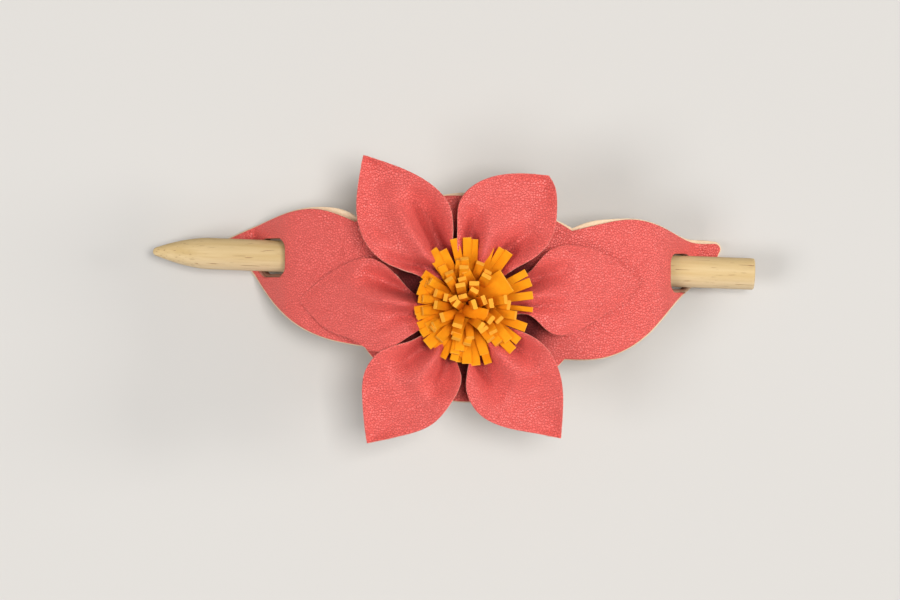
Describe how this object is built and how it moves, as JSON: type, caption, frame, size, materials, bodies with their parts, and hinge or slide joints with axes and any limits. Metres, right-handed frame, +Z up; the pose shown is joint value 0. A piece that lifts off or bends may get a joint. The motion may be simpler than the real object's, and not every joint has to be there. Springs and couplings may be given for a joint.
{
  "type": "hair barrette",
  "caption": "Arched leather hair barrette with a leather petal flower and rolled fringe centre, held by a pointed wooden stick that slides through slots at both ends.",
  "frame": {"origin": "on the surface that the barrette lies on, under the middle of its plan outline", "axes": "+X along the barrette towards the stick's square end, +Y towards the upper petals, +Z up out of the flower"},
  "size_m": [0.1213, 0.0579, 0.0292],
  "materials": {
    "coral_leather": "soft pebble-grained leather, satin, raw cut edges",
    "natural_leather": "undyed leather, matt, smooth side out",
    "pale_wood": "bare sanded hardwood",
    "orange_suede": "dyed suede, matt nap, cut edges"
  },
  "bodies": {
    "barrette": {"base_backing": "natural_leather", "base_leather": "coral_leather", "petal_right": "coral_leather", "petal_upper_right": "coral_leather", "petal_upper_left": "coral_leather", "petal_left": "coral_leather", "petal_lower_left": "coral_leather", "petal_lower_right": "coral_leather", "fringe_roll": "orange_suede"},
    "stick": {"stick": "pale_wood"}
  },
  "joints": [
    {"name": "stick_slide", "type": "slide", "parent": "barrette", "child": "stick", "axis": [0.9993, -0.0377, 0], "range_m": [-0.008, 0.112]}
  ]
}
